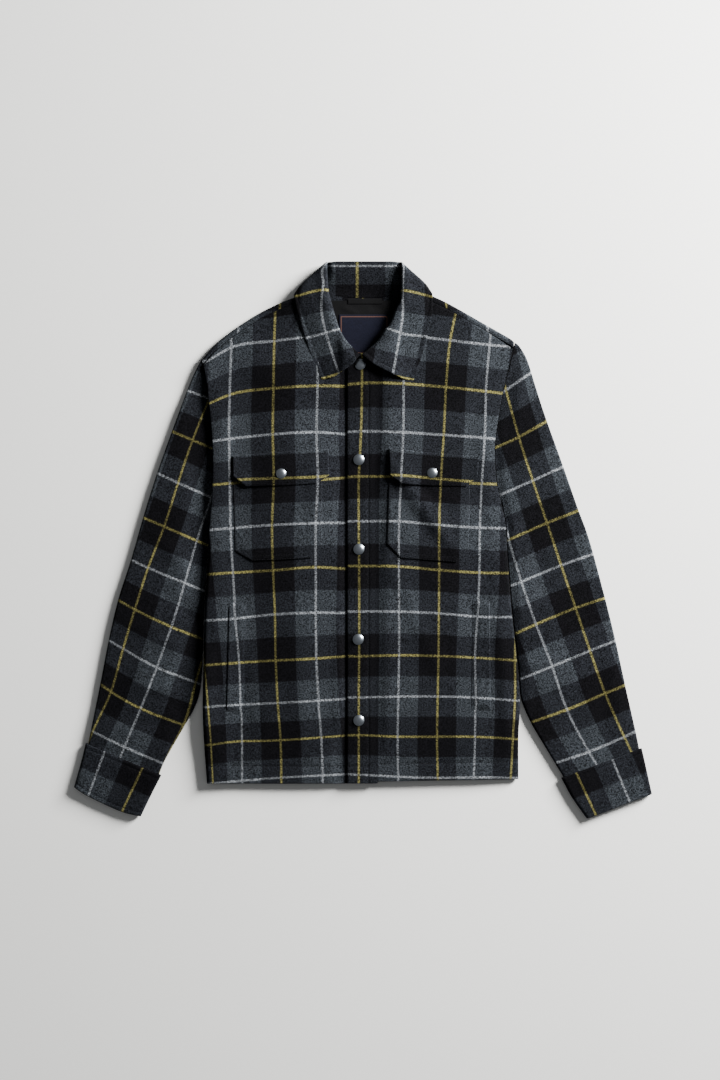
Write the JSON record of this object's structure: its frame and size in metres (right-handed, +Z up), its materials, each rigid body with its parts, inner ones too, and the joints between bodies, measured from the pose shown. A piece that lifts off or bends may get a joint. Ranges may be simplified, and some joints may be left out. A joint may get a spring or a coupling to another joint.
{
  "type": "shacket",
  "caption": "Plaid wool overshirt laid flat, with a turned-down point collar, a snapped placket, flapped chest pockets, welt hand pockets and cuffed sleeves.",
  "frame": {"origin": "centre of the laid garment's outline, on the surface it lies on", "axes": "+Z up from the surface, +Y from the hem to the collar, +X towards the wearer's left"},
  "size_m": [0.822, 0.791, 0.0198],
  "materials": {
    "wool": "brushed wool twill, charcoal and black check with grey and yellow lines",
    "lining": "plain black lining",
    "label": "woven, with a plain border",
    "snap": "satin domed cap"
  },
  "bodies": {
    "root": {"back": "wool", "front_right": "wool", "front_left": "wool", "placket_facing": "wool", "sleeve_right": "wool", "sleeve_left": "wool", "cuff_right": "wool", "cuff_left": "wool", "collar_stand": "wool", "collar_fall": "wool", "chest_pocket_right": "wool", "chest_pocket_left": "wool", "pocket_flap_right": "wool", "pocket_flap_left": "wool", "hand_pocket_welt_right": "wool", "hand_pocket_welt_left": "wool", "snap_front_1": "snap", "snap_front_2": "snap", "snap_front_3": "snap", "snap_front_4": "snap", "snap_front_5": "snap", "snap_flap_right": "snap", "snap_flap_left": "snap", "neck_lining": "lining", "neck_label": "label", "hanger_loop": "lining"}
  },
  "joints": []
}
